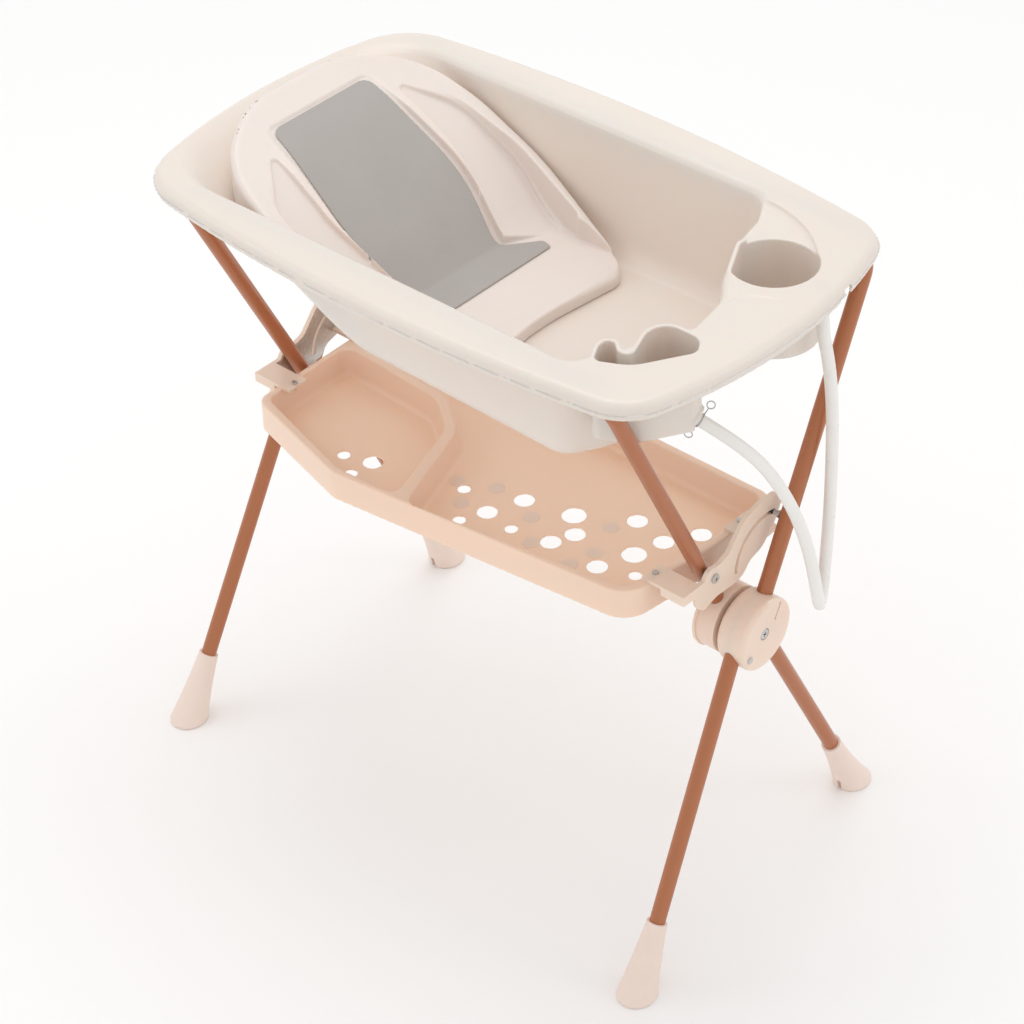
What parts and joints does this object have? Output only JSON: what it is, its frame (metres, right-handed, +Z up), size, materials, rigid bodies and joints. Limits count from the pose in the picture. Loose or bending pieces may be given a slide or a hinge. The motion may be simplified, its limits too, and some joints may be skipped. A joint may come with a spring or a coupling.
{
  "type": "baby bathtub with folding stand",
  "caption": "Oblong baby bathtub with a reclined seat insert, resting on a folding crossed-leg tube stand with a storage tray and a drain hose.",
  "frame": {"origin": "on the floor, under the middle of the tub and of the stand's four feet", "axes": "+X along the tub toward the drain hose, +Y away from the side where the bather stands, +Z up"},
  "size_m": [0.8804, 0.5326, 0.9011],
  "materials": {
    "tub_plastic": "smooth satin moulded",
    "seat_plastic": "smooth satin moulded",
    "pad_foam": "soft matte foam",
    "tray_plastic": "smooth satin moulded",
    "hub_plastic": "smooth satin moulded",
    "boot_rubber": "soft matte",
    "tube_paint": "satin metallic paint",
    "plated_steel": "zinc plated",
    "black_rubber": "matte",
    "hose_vinyl": "milky soft vinyl",
    "fitting_plastic": "moulded",
    "clamp_wire": "drawn wire"
  },
  "bodies": {
    "outer_frame": {"lower_leg_near_right": "tube_paint", "lower_leg_near_left": "tube_paint", "boot_near_right": "boot_rubber", "boot_near_left": "boot_rubber", "upper_leg_far_right": "tube_paint", "upper_leg_far_left": "tube_paint", "hub_outer_shell_right": "hub_plastic", "hub_outer_shell_left": "hub_plastic", "hub_inner_shell_right": "hub_plastic", "hub_inner_shell_left": "hub_plastic", "hub_bolt_right": "plated_steel", "hub_bolt_left": "plated_steel", "hub_nut_right": "plated_steel", "hub_nut_left": "plated_steel", "hub_rivet_right": "plated_steel", "hub_rivet_left": "plated_steel", "guide_pin_right": "plated_steel", "guide_pin_left": "plated_steel", "top_bar_far": "tube_paint"},
    "inner_frame": {"lower_leg_far_right": "tube_paint", "lower_leg_far_left": "tube_paint", "boot_far_right": "boot_rubber", "boot_far_left": "boot_rubber", "upper_leg_near_right": "tube_paint", "upper_leg_near_left": "tube_paint", "hub_cheek_right": "hub_plastic", "hub_cheek_left": "hub_plastic", "tray_pivot_screw_right": "plated_steel", "tray_pivot_screw_left": "plated_steel", "top_bar_near": "tube_paint"},
    "tray": {"tray_bracket_right": "hub_plastic", "tray_bracket_left": "hub_plastic", "slot_plate_right": "plated_steel", "slot_plate_left": "plated_steel", "slot_buffer_right": "black_rubber", "slot_buffer_left": "black_rubber", "storage_tray": "tray_plastic", "bracket_screws": "plated_steel"},
    "tub": {"tub_shell": "tub_plastic", "drain_spout": "fitting_plastic", "drain_gasket": "black_rubber", "drain_hose": "hose_vinyl", "hose_peg": "fitting_plastic", "spring_clamp": "clamp_wire"},
    "seat": {"seat_insert": "seat_plastic", "seat_pad": "pad_foam"}
  },
  "joints": [
    {"name": "tub_lift", "type": "slide", "parent": "outer_frame", "child": "tub", "axis": [0, 0.12, 0.9928], "range_m": [0, 1.3]},
    {"name": "stand_fold", "type": "hinge", "parent": "outer_frame", "child": "inner_frame", "pos_m": [0, 0, 0.42], "axis": [-1, 0, 0], "range_deg": [0, 40]},
    {"name": "tray_fold", "type": "hinge", "parent": "inner_frame", "child": "tray", "pos_m": [0, -0.04676, 0.514], "axis": [1, 0, 0], "range_deg": [0, 90]},
    {"name": "seat_lift", "type": "slide", "parent": "tub", "child": "seat", "axis": [0, 0, 1], "range_m": [0, 0.25]}
  ],
  "couplings": [
    {"joint": "stand_fold", "follows": "tub_lift", "rad_per_m": 0.53568},
    {"joint": "tray_fold", "follows": "tub_lift", "rad_per_m": 1.207}
  ]
}
